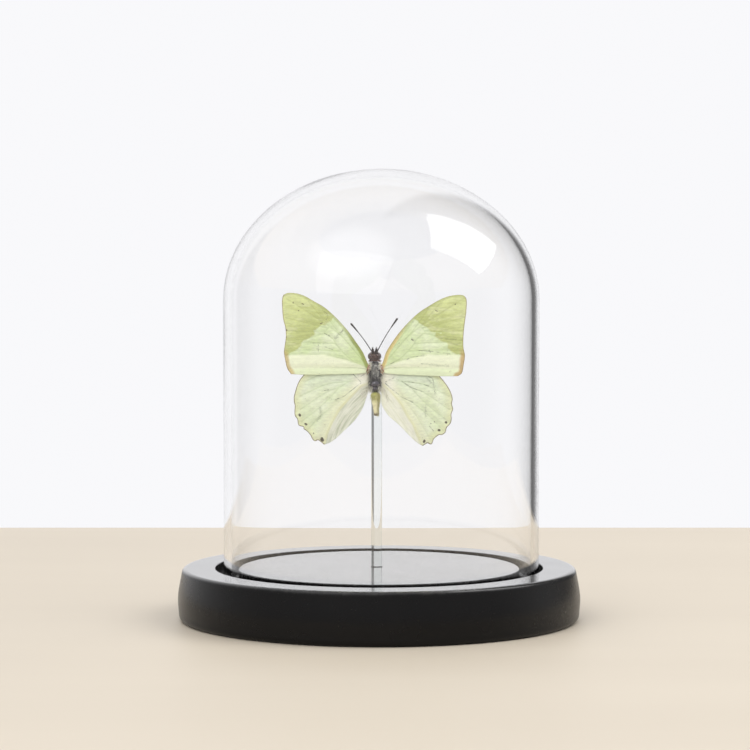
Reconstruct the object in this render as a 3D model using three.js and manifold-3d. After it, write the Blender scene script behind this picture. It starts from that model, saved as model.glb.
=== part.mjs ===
// A spread butterfly on a clear rod, under a glass dome that stands in the groove of a turned base.
// Millimetres, +Z up. The origin is the centre of the base's underside. The butterfly's back faces -Y.
import * as THREE from "three";
import { mergeVertices } from "three/addons/utils/BufferGeometryUtils.js";
import Module from "manifold-3d";

// Base: a disc with a bulged side, a flat top and a ring groove round a plateau.
const BASE_HEIGHT = 16.5;
const BASE_TOP_RADIUS = 62.4;
const BASE_BELLY_RADIUS = 63.9;
const BASE_BELLY_HEIGHT = 8.0;
const BASE_FOOT_RADIUS = 61.6;
const BASE_TOP_ROUNDING = 0.6;
const BASE_FOOT_ROUNDING = 2.0;
const GROOVE_INNER_RADIUS = 44.6;
const GROOVE_OUTER_RADIUS = 52.0;
const GROOVE_DEPTH = 5.0;

// Dome: a straight wall below an elliptical crown, standing a little off the base's centre.
const DOME_RADIUS = 50.0;
const DOME_WALL = 2.3;
const DOME_CROWN_START = BASE_HEIGHT + 84.8;
const DOME_CROWN_HEIGHT = 41.5;
const DOME_LIFT = 0.1;
const DOME_OFFSET_X = 0.7;

// Rod: round, in a blind hole that is drilled slightly off the base's centre.
const ROD_RADIUS = 1.71;
const ROD_X = -0.78;
const ROD_FOOT_DEPTH = 8.0;
const ROD_HOLE_CLEARANCE = 0.25;

// Butterfly: its own origin lies on the body's middle line, at the height where fore- and hindwing meet.
const BODY_X = -1.25;
const BODY_Y = -5.3;
const BODY_Z = BASE_HEIGHT + 61.4;
const ROD_TOP_BELOW_BODY_ORIGIN = 1.0;
const THORAX_TOP_Z = 4.3;
const THORAX_BOTTOM_Z = -5.2;
const THORAX_RADIUS = 2.25;
const THORAX_DEPTH_RATIO = 1.1;
const HEAD_X = -0.2;
const HEAD_Z = 5.85;
const ABDOMEN_LENGTH = 7.6;
const ABDOMEN_LEAN = THREE.MathUtils.degToRad(-2.5);
const WING_THICKNESS = 0.3;
const FOREWING_Y = -1.3;
const HINDWING_Y = -0.7;
const WING_ROOT_X = 2.5;
const WING_DIHEDRAL = THREE.MathUtils.degToRad(3);

const TURNED_SIDES = 48;
const BODY_SIDES = 20;

const wasm = await Module();
wasm.setup();

function material(color, roughness, more = {}) {
  return new THREE.MeshStandardMaterial({ color, roughness, metalness: 0, ...more });
}

const LACQUER = material(0x1d1e20, 0.35);
const GLASS = material(0xf4faf8, 0.03, { transparent: true, opacity: 0.25 });
const CLEAR_ACRYLIC = material(0xf0f2f2, 0.06, { transparent: true, opacity: 0.4 });
const THORAX_FUR = material(0x4a4744, 0.9);
const HEAD_FUR = material(0x4b2f28, 0.7);
const ABDOMEN_SKIN = material(0xcdc389, 0.75);
const FEELER = material(0x2e2b29, 0.6);
const LEG = material(0x8d8a62, 0.7);
const FOREWING_SCALES = material(0xd5dfa8, 0.75);
const HINDWING_SCALES = material(0xd3e3bd, 0.75);

const group = new THREE.Group();

function addNode(name, geometry, surface, parent = group) {
  const mesh = new THREE.Mesh(geometry, surface.clone());
  mesh.name = name;
  parent.add(mesh);
  return mesh;
}

// ---- Booleans ----------------------------------------------------------------------------------

function toSolid(geometry) {
  const bare = geometry.clone();
  bare.deleteAttribute("normal");
  bare.deleteAttribute("uv");
  const merged = mergeVertices(bare, 1e-4);
  return new wasm.Manifold(
    new wasm.Mesh({
      numProp: 3,
      vertProperties: merged.attributes.position.array,
      triVerts: new Uint32Array(merged.index.array),
    }),
  );
}

function toGeometry(solid) {
  const { vertProperties, triVerts } = solid.getMesh();
  return new THREE.BufferGeometry()
    .setAttribute("position", new THREE.BufferAttribute(vertProperties, 3))
    .setIndex(new THREE.BufferAttribute(triVerts, 1));
}

// ---- Shapes ------------------------------------------------------------------------------------

// A profile of [radius, height] pairs, counter-clockwise, turned round Z.
function turned(profile, sides = TURNED_SIDES) {
  const points = profile.map(([r, z]) => new THREE.Vector2(r, z));
  return new THREE.LatheGeometry(points, sides).rotateX(Math.PI / 2);
}

// Points on an elliptical arc in a profile, both ends included.
function arc(centre, radii, fromDegrees, toDegrees, steps) {
  const points = [];
  for (let i = 0; i <= steps; i++) {
    const angle = THREE.MathUtils.degToRad(fromDegrees + ((toDegrees - fromDegrees) * i) / steps);
    points.push([centre[0] + radii[0] * Math.cos(angle), centre[1] + radii[1] * Math.sin(angle)]);
  }
  return points;
}

// A cylinder that stands on Z = bottom.
function post(radius, bottom, top, sides = 24) {
  return new THREE.CylinderGeometry(radius, radius, top - bottom, sides)
    .rotateX(Math.PI / 2)
    .translate(0, 0, (top + bottom) / 2);
}

// An egg with its long way along Z.
function egg([rx, ry, rz], [x, y, z], sides = BODY_SIDES) {
  return new THREE.SphereGeometry(1, sides, Math.round(sides * 0.6))
    .rotateX(Math.PI / 2)
    .scale(rx, ry, rz)
    .translate(x, y, z);
}

// A round bar along a smooth path through the given points.
function bar(points, radius, sides = 8, steps = 14) {
  const path = new THREE.CatmullRomCurve3(points.map((p) => new THREE.Vector3(...p)));
  const section = new THREE.Shape().absarc(0, 0, radius, 0, 2 * Math.PI);
  return new THREE.ExtrudeGeometry(section, { steps, curveSegments: sides, extrudePath: path });
}

// A thin plate in the XZ plane, from an outline of [x, z] points joined by one smooth curve.
function wingPlate(outline, y) {
  const curve = new THREE.SplineCurve(outline.map(([x, z]) => new THREE.Vector2(x, z)));
  const steps = outline.length * 2;
  const shape = new THREE.Shape(curve.getPoints(steps).slice(0, -1));
  return new THREE.ExtrudeGeometry(shape, { depth: WING_THICKNESS, bevelEnabled: false })
    .translate(0, 0, -WING_THICKNESS / 2)
    .rotateX(Math.PI / 2)
    .translate(0, y, 0);
}

// ---- Base --------------------------------------------------------------------------------------

// The side of the base bulges between the top edge and the foot.
function baseProfile() {
  const top = BASE_HEIGHT;
  const foot = BASE_FOOT_ROUNDING;
  const grooveFloor = top - GROOVE_DEPTH;
  const side = new THREE.SplineCurve([
    new THREE.Vector2(BASE_FOOT_RADIUS + foot, foot),
    new THREE.Vector2(BASE_BELLY_RADIUS, BASE_BELLY_HEIGHT),
    new THREE.Vector2(BASE_TOP_RADIUS, top - BASE_TOP_ROUNDING),
  ]);
  const sidePoints = side.getPoints(6).slice(1, -1);
  return [
    [0, 0],
    ...arc([BASE_FOOT_RADIUS, foot], [foot, foot], -90, 0, 3),
    ...sidePoints.map((p) => [p.x, p.y]),
    ...arc([BASE_TOP_RADIUS - BASE_TOP_ROUNDING, top - BASE_TOP_ROUNDING],
      [BASE_TOP_ROUNDING, BASE_TOP_ROUNDING], 0, 90, 2),
    [GROOVE_OUTER_RADIUS, top],
    [GROOVE_OUTER_RADIUS, grooveFloor],
    [GROOVE_INNER_RADIUS, grooveFloor],
    [GROOVE_INNER_RADIUS, top],
    [0, top],
  ];
}

function rodHole() {
  const floor = BASE_HEIGHT - ROD_FOOT_DEPTH - ROD_HOLE_CLEARANCE;
  return post(ROD_RADIUS + ROD_HOLE_CLEARANCE, floor, BASE_HEIGHT + 5).translate(ROD_X, 0, 0);
}

addNode("base", toGeometry(toSolid(turned(baseProfile())).subtract(toSolid(rodHole()))), LACQUER);

// ---- Dome --------------------------------------------------------------------------------------

// The wall is equally thick all the way, so the inner crown is the outer one less the wall.
function domeProfile() {
  const rim = BASE_HEIGHT - GROOVE_DEPTH + DOME_LIFT;
  const outer = [DOME_RADIUS, DOME_CROWN_HEIGHT];
  const inner = [DOME_RADIUS - DOME_WALL, DOME_CROWN_HEIGHT - DOME_WALL];
  const crownCentre = [0, DOME_CROWN_START];
  const round = DOME_WALL / 2;
  return [
    ...arc([DOME_RADIUS - round, rim + round], [round, round], -180, 0, 4),
    ...arc(crownCentre, outer, 0, 90, 12),
    ...arc(crownCentre, inner, 90, 0, 10),
    [DOME_RADIUS - DOME_WALL, rim + round],
  ];
}

addNode("glass_dome", turned(domeProfile()), GLASS).position.x = DOME_OFFSET_X;

// ---- Rod and glue ------------------------------------------------------------------------------

const rodTop = BODY_Z - ROD_TOP_BELOW_BODY_ORIGIN;
const rod = addNode("rod", post(ROD_RADIUS, BASE_HEIGHT - ROD_FOOT_DEPTH, rodTop, 20), CLEAR_ACRYLIC);
rod.position.x = ROD_X;

// The thorax is a barrel, a little deeper than it is wide. It grows evenly by the given amount.
function thoraxShape(grow = 0) {
  const profile = [
    [0, THORAX_BOTTOM_Z - grow],
    [1.3 + grow, THORAX_BOTTOM_Z + 0.3 - grow],
    [1.95 + grow, -3.8],
    [THORAX_RADIUS + grow, -2.1],
    [THORAX_RADIUS + grow, -0.6],
    [2.05 + grow, 1.4],
    [1.7 + grow, 3.1],
    [1.1 + grow, THORAX_TOP_Z - 0.25 + grow],
    [0, THORAX_TOP_Z + grow],
  ];
  return turned(profile, BODY_SIDES).scale(1, THORAX_DEPTH_RATIO, 1);
}

// The glue fills the space between the rod's top end and the thorax, less a small gap to each.
function glueDab() {
  const gap = 0.12;
  const rodX = ROD_X - BODY_X;
  const dab = toSolid(egg([1.8, 1.5, 2.4], [rodX - 0.15, 3.1, -2.3]));
  const rodSpace = post(ROD_RADIUS + gap, -9, -ROD_TOP_BELOW_BODY_ORIGIN + gap).translate(rodX, -BODY_Y, 0);
  return toGeometry(dab.subtract(toSolid(rodSpace)).subtract(toSolid(thoraxShape(gap))));
}

const butterfly = new THREE.Group();
butterfly.position.set(BODY_X, BODY_Y, BODY_Z);
group.add(butterfly);
addNode("glue_dab", glueDab(), CLEAR_ACRYLIC, butterfly);

// ---- Body --------------------------------------------------------------------------------------

addNode("thorax", thoraxShape(), THORAX_FUR, butterfly);

// The head is a short egg with a large round eye on each side.
function headShape() {
  let head = toSolid(egg([1.75, 1.6, 1.4], [HEAD_X, -0.2, HEAD_Z]));
  for (const side of [-1, 1]) {
    head = head.add(toSolid(egg([1.05, 1.2, 1.2], [HEAD_X + side * 1.1, -0.3, HEAD_Z], 14)));
  }
  return toGeometry(head);
}

addNode("head", headShape(), HEAD_FUR, butterfly);

// The abdomen tapers to a blunt tip and leans a little to the right.
const abdomenProfile = [
  [0, -ABDOMEN_LENGTH],
  [0.55, -ABDOMEN_LENGTH + 0.15],
  [0.8, -ABDOMEN_LENGTH + 0.7],
  [0.95, -ABDOMEN_LENGTH + 2.5],
  [1.3, -2.4],
  [1.5, -1.0],
  [1.1, -0.15],
  [0, 0],
];
const abdomen = addNode("abdomen", turned(abdomenProfile, BODY_SIDES), ABDOMEN_SKIN, butterfly);
abdomen.position.set(-0.05, -0.1, THORAX_BOTTOM_Z - 0.1);
abdomen.rotation.y = ABDOMEN_LEAN;

// ---- Feelers -----------------------------------------------------------------------------------

// A straight stalk from the head to a thicker club, turned so that its own Z runs from base to tip.
function antenna(name, base, tip) {
  const from = new THREE.Vector3(...base);
  const to = new THREE.Vector3(...tip);
  const length = from.distanceTo(to);
  const profile = [
    [0, 0],
    [0.15, 0],
    [0.15, length - 3.0],
    [0.33, length - 1.9],
    [0.36, length - 0.7],
    [0.2, length - 0.1],
    [0, length],
  ];
  const mesh = addNode(name, turned(profile, 10), FEELER, butterfly);
  mesh.position.copy(from);
  mesh.quaternion.setFromUnitVectors(new THREE.Vector3(0, 0, 1), to.sub(from).normalize());
}

antenna("antenna_left", [-1.55, -0.9, 7.6], [-7.65, -3.6, 16.4]);
antenna("antenna_right", [1.15, -0.9, 7.6], [7.05, -3.6, 18.0]);

for (const [sideName, side] of [["left", -1], ["right", 1]]) {
  const place = [HEAD_X + side * 0.6, -1.6, HEAD_Z + 1.95];
  addNode(`palp_${sideName}`, egg([0.32, 0.34, 0.9], place, 10), HEAD_FUR, butterfly);
}

// ---- Legs --------------------------------------------------------------------------------------

// Each leg is folded against the underside: out and down to the knee, then back up. Points are for
// the right side, and side = -1 mirrors them.
const LEG_PATHS = {
  leg_mid: [[2.1, 1.7, 1.6], [3.0, 2.9, 0.4], [3.5, 3.6, -1.6], [3.3, 4.2, -0.2], [3.0, 4.5, 2.2]],
  leg_hind: [[2.1, 1.7, -1.6], [3.0, 2.9, -3.2], [3.1, 3.6, -5.8], [3.0, 4.3, -4.4], [2.9, 4.6, -2.4]],
};
for (const [name, path] of Object.entries(LEG_PATHS)) {
  for (const [sideName, side] of [["left", -1], ["right", 1]]) {
    const points = path.map(([x, y, z]) => [side * x, y, z]);
    addNode(`${name}_${sideName}`, bar(points, 0.17), LEG, butterfly);
  }
}

// ---- Wings -------------------------------------------------------------------------------------

// Outlines of the right-hand wings, from the root round the front edge, tip and margin.
const FOREWING_OUTLINE = [
  [2.6, 1.4], [2.8, 4.6], [3.8, 7.2], [5.9, 10.5], [8.4, 13.9], [11.2, 17.1], [13.9, 19.7],
  [16.8, 21.8], [20.0, 23.6], [22.8, 24.9], [25.3, 25.5], [27.4, 25.5], [28.7, 24.3],
  [28.8, 21.3], [28.5, 17.1], [27.9, 13.7], [27.8, 10.5], [28.1, 8.0], [28.3, 6.5],
  [28.0, 4.2], [27.4, 1.5], [26.1, 0.1], [15.0, 0.1], [6.0, 0.3], [2.6, 1.4],
];
const HINDWING_OUTLINE = [
  [2.5, 1.6], [8.0, 2.6], [14.0, 2.8], [19.0, 2.0], [22.2, 0.0], [23.8, -2.3], [24.7, -5.5],
  [25.0, -8.5], [24.8, -11.5], [24.2, -14.2], [22.6, -16.8], [20.2, -19.0], [17.8, -21.0],
  [15.7, -22.0], [13.3, -21.1], [9.9, -18.0],
  [6.7, -14.7], [4.0, -11.5], [2.8, -8.5], [2.5, -4.0], [2.5, 1.6],
];

// A wing lies on the right, or mirrored on the left, and lifts towards its tip about its root.
function addWing(name, outline, y, side, scales) {
  const fromRoot = outline.map(([x, z]) => [side * (x - WING_ROOT_X), z]);
  const wing = addNode(name, wingPlate(fromRoot, y), scales, butterfly);
  wing.position.x = side * WING_ROOT_X;
  wing.rotation.z = -side * WING_DIHEDRAL;
}

for (const [sideName, side] of [["left", -1], ["right", 1]]) {
  addWing(`forewing_${sideName}`, FOREWING_OUTLINE, FOREWING_Y, side, FOREWING_SCALES);
  addWing(`hindwing_${sideName}`, HINDWING_OUTLINE, HINDWING_Y, side, HINDWING_SCALES);
}

export default group;
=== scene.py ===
import math
import random

import bmesh
import bpy
import numpy as np
from mathutils import Matrix, Vector


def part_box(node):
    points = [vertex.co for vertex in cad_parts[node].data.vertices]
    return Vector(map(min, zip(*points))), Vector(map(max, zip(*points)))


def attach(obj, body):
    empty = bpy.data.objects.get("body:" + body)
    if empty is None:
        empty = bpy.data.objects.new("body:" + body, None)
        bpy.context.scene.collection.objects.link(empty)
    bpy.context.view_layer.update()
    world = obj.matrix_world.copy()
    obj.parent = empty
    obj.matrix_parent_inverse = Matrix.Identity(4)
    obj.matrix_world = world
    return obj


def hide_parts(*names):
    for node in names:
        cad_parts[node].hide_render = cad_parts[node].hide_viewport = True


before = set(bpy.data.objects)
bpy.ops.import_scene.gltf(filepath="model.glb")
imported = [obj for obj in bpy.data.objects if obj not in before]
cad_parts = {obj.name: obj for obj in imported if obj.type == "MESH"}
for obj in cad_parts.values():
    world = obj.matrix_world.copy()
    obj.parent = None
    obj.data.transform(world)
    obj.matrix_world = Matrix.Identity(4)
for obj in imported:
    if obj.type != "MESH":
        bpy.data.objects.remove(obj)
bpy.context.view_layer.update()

# ---- Base ----------------------------------------------------------------------------------------
# A turned disc of wood, sprayed satin black all over. A ring groove in its top takes the dome's rim,
# and a blind hole, drilled a hair off centre, takes the rod. Sizes here are in millimetres.

MM = 0.001

base_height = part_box("base")[1].z / MM
belly_radius, belly_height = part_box("base")[1].x / MM - 0.1, 8.0
foot_radius, foot_inset, foot_rounding = 63.6, 0.05, 2.0
top_radius, top_rounding = 62.35, 1.2
greyer_edge_in, greyer_edge_down, greyer_edge_middle = 1.2, 1.5, 0.4  # how far the greyer top edge reaches
groove_inner, groove_outer, groove_depth = 44.6, 52.0, 5.0
groove_floor = base_height - groove_depth
groove_rounding = 0.35
rod_x, rod_radius = -0.78, 1.71
hole_radius, hole_depth, hole_rounding = 1.96, 8.25, 0.12
hole_land = 0.6  # the ring of wood round the hole that moves with it


def smooth_line(points, per_span=8):
    """Points along one smooth curve through the given ones."""
    points = [Vector(p) for p in points]
    ends = [2 * points[0] - points[1], *points, 2 * points[-1] - points[-2]]
    line = []
    for a, b, c, d in zip(ends, ends[1:], ends[2:], ends[3:]):
        for step in range(per_span):
            t = step / per_span
            line.append((2 * b + (c - a) * t + (2 * a - 5 * b + 4 * c - d) * t**2
                         + (3 * b - a - 3 * c + d) * t**3) / 2)
    return line + [points[-1]]


def in_fixed_order(shape):
    """The same shape, its faces and their corners in one order.

    A spin gives them another order at each run, and hairs are planted by that order.
    """
    shape.verts.index_update()
    rings = []
    for face in shape.faces:
        ring = [point.index for point in face.verts]
        first = ring.index(min(ring))
        rings.append(ring[first:] + ring[:first])
    ordered = bmesh.new()
    points = [ordered.verts.new(point.co) for point in shape.verts]
    for ring in sorted(rings):
        ordered.faces.new([points[step] for step in ring])
    ordered.normal_update()
    shape.free()
    return ordered


def turned(profile, steps=256):
    """A shape turned round Z from [radius, height] pairs that start and end on the axis."""
    shape = bmesh.new()
    points = [shape.verts.new((radius, 0, height)) for radius, height in profile]
    edges = [shape.edges.new(pair) for pair in zip(points, points[1:])]
    bmesh.ops.spin(shape, geom=points + edges, cent=(0, 0, 0), axis=(0, 0, 1),
                   angle=2 * math.pi, steps=steps, use_merge=True)
    bmesh.ops.remove_doubles(shape, verts=shape.verts, dist=1e-4)
    bmesh.ops.recalc_face_normals(shape, faces=shape.faces)
    return in_fixed_order(shape)


def round_off(shape, corners, width, segments=4):
    """Rounds the turned edges that run through the given [radius, height] corners."""
    def runs_through(edge, corner):
        ends = [(math.hypot(vert.co.x, vert.co.y), vert.co.z) for vert in edge.verts]
        return all(math.dist(end, corner) < 1e-3 for end in ends)

    rims = [edge for edge in shape.edges if any(runs_through(edge, corner) for corner in corners)]
    bmesh.ops.bevel(shape, geom=rims, offset=width, offset_type="OFFSET", segments=segments,
                    profile=0.5, affect="EDGES", material=-1)


def finished(name, shape, materials, replaced, place=(0, 0, 0), first_fur=None):
    """Makes a shape in millimetres a piece of the one body, in place of its CAD nodes.

    Materials from the one numbered first_fur on are hair, which stays faceted.
    """
    for face in shape.faces:
        face.smooth = first_fur is None or face.material_index < first_fur
    bmesh.ops.translate(shape, vec=Vector(place), verts=shape.verts)
    bmesh.ops.scale(shape, vec=(MM, MM, MM), verts=shape.verts)
    mesh = bpy.data.meshes.new(name)
    shape.to_mesh(mesh)
    shape.free()
    for material in materials:
        mesh.materials.append(material)
    piece = bpy.data.objects.new(name, mesh)
    bpy.context.scene.collection.objects.link(piece)
    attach(piece, "root")
    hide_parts(*replaced)
    return piece


def tone(red, green, blue):
    """A shader colour from the 0 to 255 values of a paint chart."""
    def linear(value):
        share = value / 255
        return share / 12.92 if share <= 0.04045 else ((share + 0.055) / 1.055) ** 2.4

    return (linear(red), linear(green), linear(blue), 1)


def feed(tree, node, inputs):
    """Sets a node's inputs to plain values, or links them to other nodes' outputs."""
    for socket, value in inputs.items():
        if isinstance(value, bpy.types.NodeSocket):
            tree.links.new(value, node.inputs[socket])
        else:
            node.inputs[socket].default_value = value


def add(tree, kind, inputs=None, **settings):
    node = tree.nodes.new("ShaderNode" + kind)
    for setting, value in settings.items():
        setattr(node, setting, value)
    feed(tree, node, inputs or {})
    return node


def calc(tree, operation, *values):
    return add(tree, "Math", dict(enumerate(values)), operation=operation).outputs[0]


def times(tree, value, factor):
    return calc(tree, "MULTIPLY", value, factor)


def spread(tree, value, width, start):
    """A value from 0 to 1, spread over a width that begins at start."""
    return calc(tree, "MULTIPLY_ADD", value, width, start)


def fade(tree, value, start, end):
    """0 where the value is at start, 1 where it is at end, and smooth between."""
    steps = {"Value": value, "From Min": start, "From Max": end}
    return add(tree, "MapRange", steps, interpolation_type="SMOOTHSTEP").outputs[0]


def laid_over(tree, under, over, mask):
    return add(tree, "Mix", {0: mask, 6: under, 7: over}, data_type="RGBA").outputs[2]


def painted(tree, colour, coats):
    """Lays tones over a colour in turn, each with its mask and the strength of that mask."""
    for over, mask, strength in coats:
        colour = laid_over(tree, colour, over, times(tree, mask, strength))
    return colour


def cloud(tree, scale, detail=3.0, stretch=(1, 1, 1)):
    """Noise from 0 to 1 on the piece itself, stretched along its axes."""
    place = add(tree, "TexCoord").outputs["Object"]
    if stretch != (1, 1, 1):
        place = add(tree, "Mapping", {"Vector": place, "Scale": stretch}).outputs[0]
    return add(tree, "TexNoise", {"Vector": place, "Scale": scale, "Detail": detail}).outputs["Fac"]


def shader_group(name, inputs, outputs):
    """An empty shader node group with its sockets, and its input and output nodes."""
    group = bpy.data.node_groups.new(name, "ShaderNodeTree")
    for label, kind, value in inputs:
        socket = group.interface.new_socket(label, in_out="INPUT", socket_type="NodeSocket" + kind)
        socket.default_value = value
    for label, kind in outputs:
        group.interface.new_socket(label, in_out="OUTPUT", socket_type="NodeSocket" + kind)
    return group, group.nodes.new("NodeGroupInput"), group.nodes.new("NodeGroupOutput")


def upwards(tree):
    """How far the surface faces up: 1 where it is level, 0 where it is upright."""
    return add(tree, "SeparateXYZ", {0: add(tree, "NewGeometry").outputs["Normal"]}).outputs[2]


def bumps(tree, height, strength, distance, on=None):
    """The surface's direction, shaken by a height, perhaps on top of other bumps."""
    node = add(tree, "Bump", {"Height": height, "Strength": strength, "Distance": distance})
    if on:
        feed(tree, node, {"Normal": on})
    return node.outputs[0]


def finish_called(name):
    """A new material, its nodes, and its Principled shader."""
    material = bpy.data.materials.new(name)
    material.use_nodes = True
    return material, material.node_tree, material.node_tree.nodes["Principled BSDF"]


# Dust that has settled on whatever faces up, thicker in soft patches and with a few coarse grains.
settled_dust, dust_in, dust_out = shader_group(
    "settled_dust", [("Amount", "Float", 0.3), ("Grain Scale", "Float", 900.0)], [("Mask", "Float")])
film = fade(settled_dust, cloud(settled_dust, 45), 0.35, 0.75)
speck_place = add(settled_dust, "TexCoord").outputs["Object"]
specks = add(settled_dust, "TexVoronoi", {"Vector": speck_place, "Scale": dust_in.outputs["Grain Scale"]})
grains = fade(settled_dust, specks.outputs["Distance"], 0.16, 0.05)
kept_grains = times(settled_dust, grains, fade(settled_dust, cloud(settled_dust, 400), 0.55, 0.7))
both = spread(settled_dust, film, 0.5, kept_grains)
lying = times(settled_dust, both, fade(settled_dust, upwards(settled_dust), 0.3, 0.95))
feed(settled_dust, dust_out, {"Mask": times(settled_dust, lying, dust_in.outputs["Amount"])})


def dust_mask(tree, amount):
    node = add(tree, "Group", node_tree=settled_dust)
    feed(tree, node, {"Amount": amount})
    return node.outputs["Mask"]


def black_lacquer():
    """Near black, greyer in patches along the top edge, dusty, and glossiest where it lies level."""
    material, tree, surface = finish_called("satin_black_lacquer")
    place = add(tree, "SeparateXYZ", {0: add(tree, "TexCoord").outputs["Object"]}).outputs
    square = [times(tree, place[axis], place[axis]) for axis in (0, 1)]
    radius = calc(tree, "SQRT", calc(tree, "ADD", *square))
    outmost = fade(tree, radius, (top_radius - greyer_edge_in) * MM, (top_radius - greyer_edge_middle) * MM)
    uppermost = fade(tree, place[2], (base_height - greyer_edge_down) * MM, (base_height - greyer_edge_middle) * MM)
    # Greyer in patches along the outer top edge.
    greyer_edge = times(tree, times(tree, outmost, uppermost), fade(tree, cloud(tree, 260, 5), 0.48, 0.7))
    dust = dust_mask(tree, 0.10)
    coat = painted(tree, tone(11, 11, 12), [(tone(17, 16, 16), cloud(tree, 70), 1),
                                            (tone(64, 62, 60), greyer_edge, 0.35),
                                            (tone(176, 172, 166), dust, 1)])
    level = fade(tree, upwards(tree), 0.4, 0.95)
    haze = spread(tree, cloud(tree, 120, 4), 0.08, spread(tree, level, -0.11, 0.23))
    pores = spread(tree, cloud(tree, 1300, 2), 0.7, times(tree, cloud(tree, 5200, 2), 0.3))
    feed(tree, surface, {"Base Color": coat, "Roughness": calc(tree, "ADD", haze, dust),
                         "Normal": bumps(tree, pores, 0.05, 0.00005), "Specular IOR Level": 0.17,
                         "Coat Weight": times(tree, level, 0.9), "Coat Roughness": 0.12,
                         "Coat IOR": 1.6})
    return material


side = smooth_line([(foot_radius, foot_rounding + 0.3), (belly_radius, belly_height),
                    (top_radius, base_height)], 10)
# No point of the side lies where its top edge is rounded.
side = [point for point in side if not base_height - 1.2 * top_rounding < point.y < base_height]
support = 1.0  # how far from a groove's edge the next ring of points lies, so that it rounds tightly
base = turned([
    (0, base_height - hole_depth), (hole_radius, base_height - hole_depth), (hole_radius, base_height),
    (hole_radius + hole_land, base_height), (groove_inner - support, base_height),
    (groove_inner, base_height), (groove_inner, base_height - support), (groove_inner, groove_floor),
    (groove_inner + support, groove_floor), (groove_outer - support, groove_floor),
    (groove_outer, groove_floor), (groove_outer, base_height - support), (groove_outer, base_height),
    (groove_outer + support, base_height), (top_radius - 1.6, base_height),
    *[tuple(point) for point in reversed(side)],
    (foot_radius - foot_inset, 0), (foot_radius - foot_rounding - 1.5, 0), (0, 0)])
round_off(base, [(groove_inner, base_height), (groove_outer, base_height)], groove_rounding)
round_off(base, [(top_radius, base_height)], top_rounding, 6)
round_off(base, [(foot_radius - foot_inset, 0)], foot_rounding, 6)
round_off(base, [(hole_radius, base_height)], hole_rounding, 2)
hole = [vert for vert in base.verts
        if vert.co.z > 1 and math.hypot(vert.co.x, vert.co.y) < hole_radius + hole_land + 0.1]
bmesh.ops.translate(base, vec=(rod_x, 0, 0), verts=hole)
finished("turned_base", base, [black_lacquer()], ["base"])

# ---- Rod -----------------------------------------------------------------------------------------
# A round rod of clear cast acrylic, cut square and glued into the base. Its cut ends are a little
# chamfered, and its skin has the fine scratches of handling.

rod_bottom, rod_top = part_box("rod")[0].z / MM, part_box("rod")[1].z / MM
rod_chamfer = 0.12
rod_band = 0.3  # the plain band beside each chamfer


def lets_light_through(tree, surface, tint):
    """Lamps shine straight through the clear piece, and the camera still sees it bend what is behind."""
    clear = add(tree, "BsdfTransparent", {"Color": tint})
    path = add(tree, "LightPath")
    straight = calc(tree, "MAXIMUM", path.outputs["Is Shadow Ray"], path.outputs["Is Diffuse Ray"])
    mix = add(tree, "MixShader", {0: straight, 1: surface.outputs[0], 2: clear.outputs[0]})
    tree.links.new(mix.outputs[0], tree.nodes["Material Output"].inputs["Surface"])


def cast_acrylic():
    material, tree, surface = finish_called("clear_acrylic_rod")
    scratches = fade(tree, cloud(tree, 700, 4, (1, 1, 0.04)), 0.55, 0.75)
    waves = spread(tree, scratches, 0.2, cloud(tree, 90, 1, (1, 1, 0.3)))
    feed(tree, surface, {"Base Color": tone(246, 249, 248), "Transmission Weight": 1.0, "IOR": 1.49,
                         "Roughness": spread(tree, scratches, 0.05, 0.005),
                         "Normal": bumps(tree, waves, 0.06, 0.0002)})
    lets_light_through(tree, surface, tone(246, 249, 248))
    return material


rod = turned([
    (0, rod_bottom), (rod_radius - rod_band, rod_bottom), (rod_radius, rod_bottom),
    (rod_radius, rod_bottom + rod_band), (rod_radius, rod_top - rod_band), (rod_radius, rod_top),
    (rod_radius - rod_band, rod_top), (0, rod_top)], 96)
round_off(rod, [(rod_radius, rod_bottom), (rod_radius, rod_top)], rod_chamfer, 2)
finished("clear_rod", rod, [cast_acrylic()], ["rod"], (rod_x, 0, 0))

# ---- Glue ----------------------------------------------------------------------------------------
# A dab of clear hot glue between the rod's top end and the underside of the thorax. It has set as a
# lump that hugs both, with a few bubbles' worth of ripples in its skin.

body_place = Vector((-1.25, -5.3, base_height + 61.4))  # the butterfly's middle, where its wings meet
rod_axis = Vector((rod_x, 0)) - body_place.xy
thorax_radius, thorax_depth_ratio = 2.25, 1.1
glue_gap = 0.05
glue_middle, glue_radii = Vector((rod_axis.x - 0.15, 3.1, -2.3)), (1.8, 1.5, 2.4)


def egg(shape, radii, place, material=0, fineness=4):
    """Adds an egg to a shape, and returns its points."""
    where = Matrix.Translation(place) @ Matrix.Diagonal((*radii, 1))
    points = bmesh.ops.create_icosphere(shape, subdivisions=fineness, radius=1, matrix=where)["verts"]
    for face in {face for point in points for face in point.link_faces}:
        face.material_index = material
    return points


def set_glue():
    material, tree, surface = finish_called("set_hot_glue")
    feed(tree, surface, {"Base Color": tone(244, 243, 236), "Transmission Weight": 0.9, "IOR": 1.48,
                         "Roughness": spread(tree, cloud(tree, 500, 4), 0.12, 0.03),
                         "Normal": bumps(tree, cloud(tree, 900, 3), 0.5, 0.0003)})
    lets_light_through(tree, surface, tone(240, 240, 232))
    return material


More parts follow.
